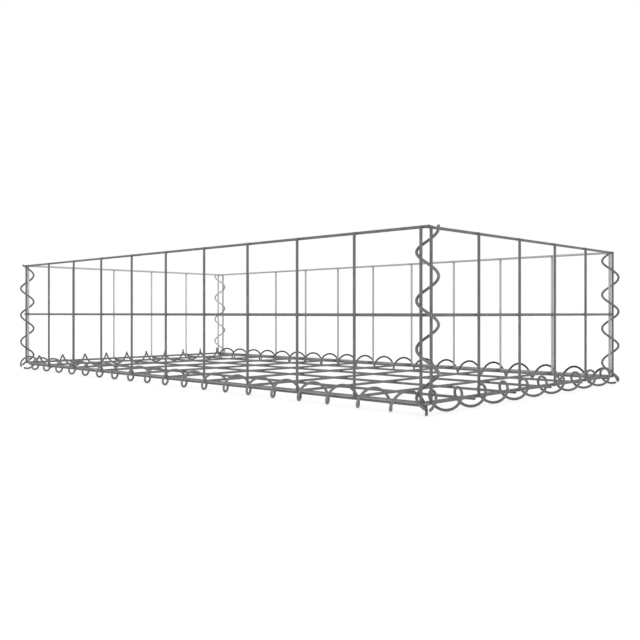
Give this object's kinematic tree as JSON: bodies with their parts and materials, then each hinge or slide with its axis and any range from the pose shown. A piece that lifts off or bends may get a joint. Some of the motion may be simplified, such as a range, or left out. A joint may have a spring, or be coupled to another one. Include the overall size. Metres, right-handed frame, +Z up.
{
  "type": "welded mesh gabion basket",
  "caption": "Open-topped rectangular basket of welded square wire mesh, its floor and sides laced along their edges by wire spirals, to be filled with stone as a gabion.",
  "frame": {"origin": "on the ground, under the middle of the basket", "axes": "+X along the length, +Y across the width from front to back, +Z up"},
  "size_m": [1.0384, 0.5384, 0.2165],
  "materials": {
    "mesh_wire": "galvanised, dull satin",
    "spiral_wire": "galvanised, dull satin"
  },
  "bodies": {
    "root": {"floor_panel": "mesh_wire", "front_panel": "mesh_wire", "right_panel": "mesh_wire", "back_panel": "mesh_wire", "left_panel": "mesh_wire", "front_spiral": "spiral_wire", "right_spiral": "spiral_wire", "back_spiral": "spiral_wire", "left_spiral": "spiral_wire", "front_right_corner_spiral": "spiral_wire", "back_right_corner_spiral": "spiral_wire", "back_left_corner_spiral": "spiral_wire", "front_left_corner_spiral": "spiral_wire"}
  },
  "joints": []
}
